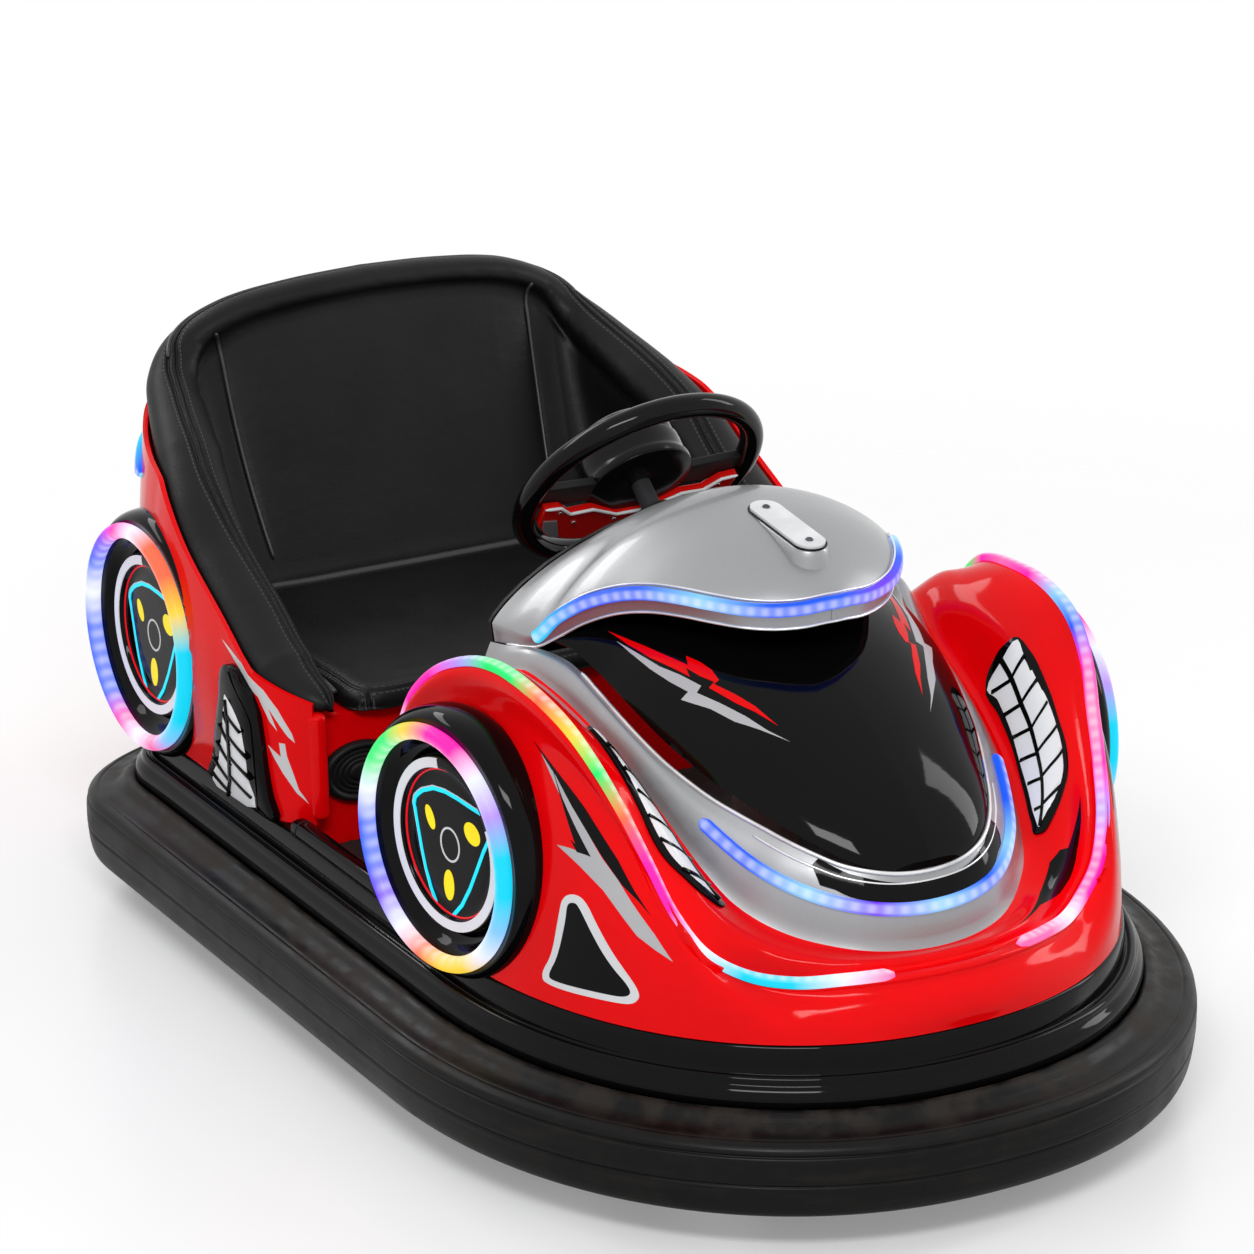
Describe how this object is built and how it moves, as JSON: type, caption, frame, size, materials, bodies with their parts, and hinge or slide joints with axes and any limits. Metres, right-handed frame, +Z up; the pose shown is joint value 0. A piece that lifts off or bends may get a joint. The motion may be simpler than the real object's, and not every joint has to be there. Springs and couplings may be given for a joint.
{
  "type": "bumper car",
  "caption": "Single-seat battery bumper car with a full rubber bumper ring, glossy shells with light strips, padded seat, steering wheel and a steered drive wheel.",
  "frame": {"origin": "floor level under the centre of the bounding box", "axes": "+Z up, the car faces -Y, its right-hand side is at -X"},
  "size_m": [0.9, 1.422, 0.7039],
  "materials": {
    "bumper_rubber": "moulded rubber, scuffed on the edge",
    "black_gloss": "polished moulded plastic",
    "black_matt": "fine grain",
    "red_shell": "gloss lacquer over moulded shell",
    "silver_shell": "metallic silver lacquer",
    "frame_steel": "black powder coat",
    "bare_steel": "turned",
    "leather_black": "grained vinyl",
    "light_strip": "milky diffuser over LEDs",
    "lens_white": "white lens with black glazing bars",
    "plate_white": "blank plate",
    "wheel_rubber": "solid rubber",
    "motor_metal": "cast",
    "battery_case": "moulded"
  },
  "bodies": {
    "car": {"bumper_tyre": "bumper_rubber", "base_tray": "black_gloss", "floor_pan": "black_matt", "chassis_frame": "frame_steel", "front_body": "red_shell", "nose_surround": "silver_shell", "bonnet_panel": "black_gloss", "cowl": "silver_shell", "cowl_chin": "black_matt", "dash_panel": "black_matt", "cowl_plate": "plate_white", "headlights": "lens_white", "fender_lights": "light_strip", "cowl_light": "light_strip", "surround_light": "light_strip", "rear_body": "red_shell", "rear_lights": "light_strip", "side_fins": "black_gloss", "fin_lenses": "lens_white", "seat_box": "red_shell", "speaker_covers": "black_matt", "seat_cushion": "leather_black", "seat_back": "leather_black", "seat_roll": "leather_black", "pod_tyres": "black_gloss", "pod_rings": "light_strip", "pod_faces": "black_matt", "column_tube": "black_matt", "steering_box": "motor_metal", "rear_brackets": "frame_steel", "steering_bridge": "frame_steel", "battery": "battery_case", "pedal": "bare_steel"},
    "steering_wheel": {"steering_rim": "black_gloss", "steering_spokes": "red_shell", "steering_hub": "black_matt", "steering_shaft": "bare_steel"},
    "steered_fork": {"steering_fork": "frame_steel"},
    "drive_wheel": {"drive_tyre": "wheel_rubber", "drive_motor": "motor_metal"},
    "rear_wheel_left": {"rear_tyre_left": "wheel_rubber", "rear_hub_left": "motor_metal"},
    "rear_wheel_right": {"rear_tyre_right": "wheel_rubber", "rear_hub_right": "motor_metal"}
  },
  "joints": [
    {"name": "steering_turn", "type": "hinge", "parent": "car", "child": "steering_wheel", "pos_m": [0, 0.039, 0.586], "axis": [0, 0.7771, 0.6293], "range_deg": [-180, 180]},
    {"name": "fork_turn", "type": "hinge", "parent": "car", "child": "steered_fork", "pos_m": [0, -0.33, 0.2], "axis": [0, 0, 1], "range_deg": [-180, 180]},
    {"name": "drive_spin", "type": "hinge", "parent": "steered_fork", "child": "drive_wheel", "pos_m": [0, -0.33, 0.1], "axis": [1, 0, 0], "continuous": true},
    {"name": "rear_spin_left", "type": "hinge", "parent": "car", "child": "rear_wheel_left", "pos_m": [0.25, 0.33, 0.07], "axis": [1, 0, 0], "continuous": true},
    {"name": "rear_spin_right", "type": "hinge", "parent": "car", "child": "rear_wheel_right", "pos_m": [-0.25, 0.33, 0.07], "axis": [1, 0, 0], "continuous": true}
  ],
  "couplings": [
    {"joint": "fork_turn", "follows": "steering_turn", "ratio": 1}
  ]
}
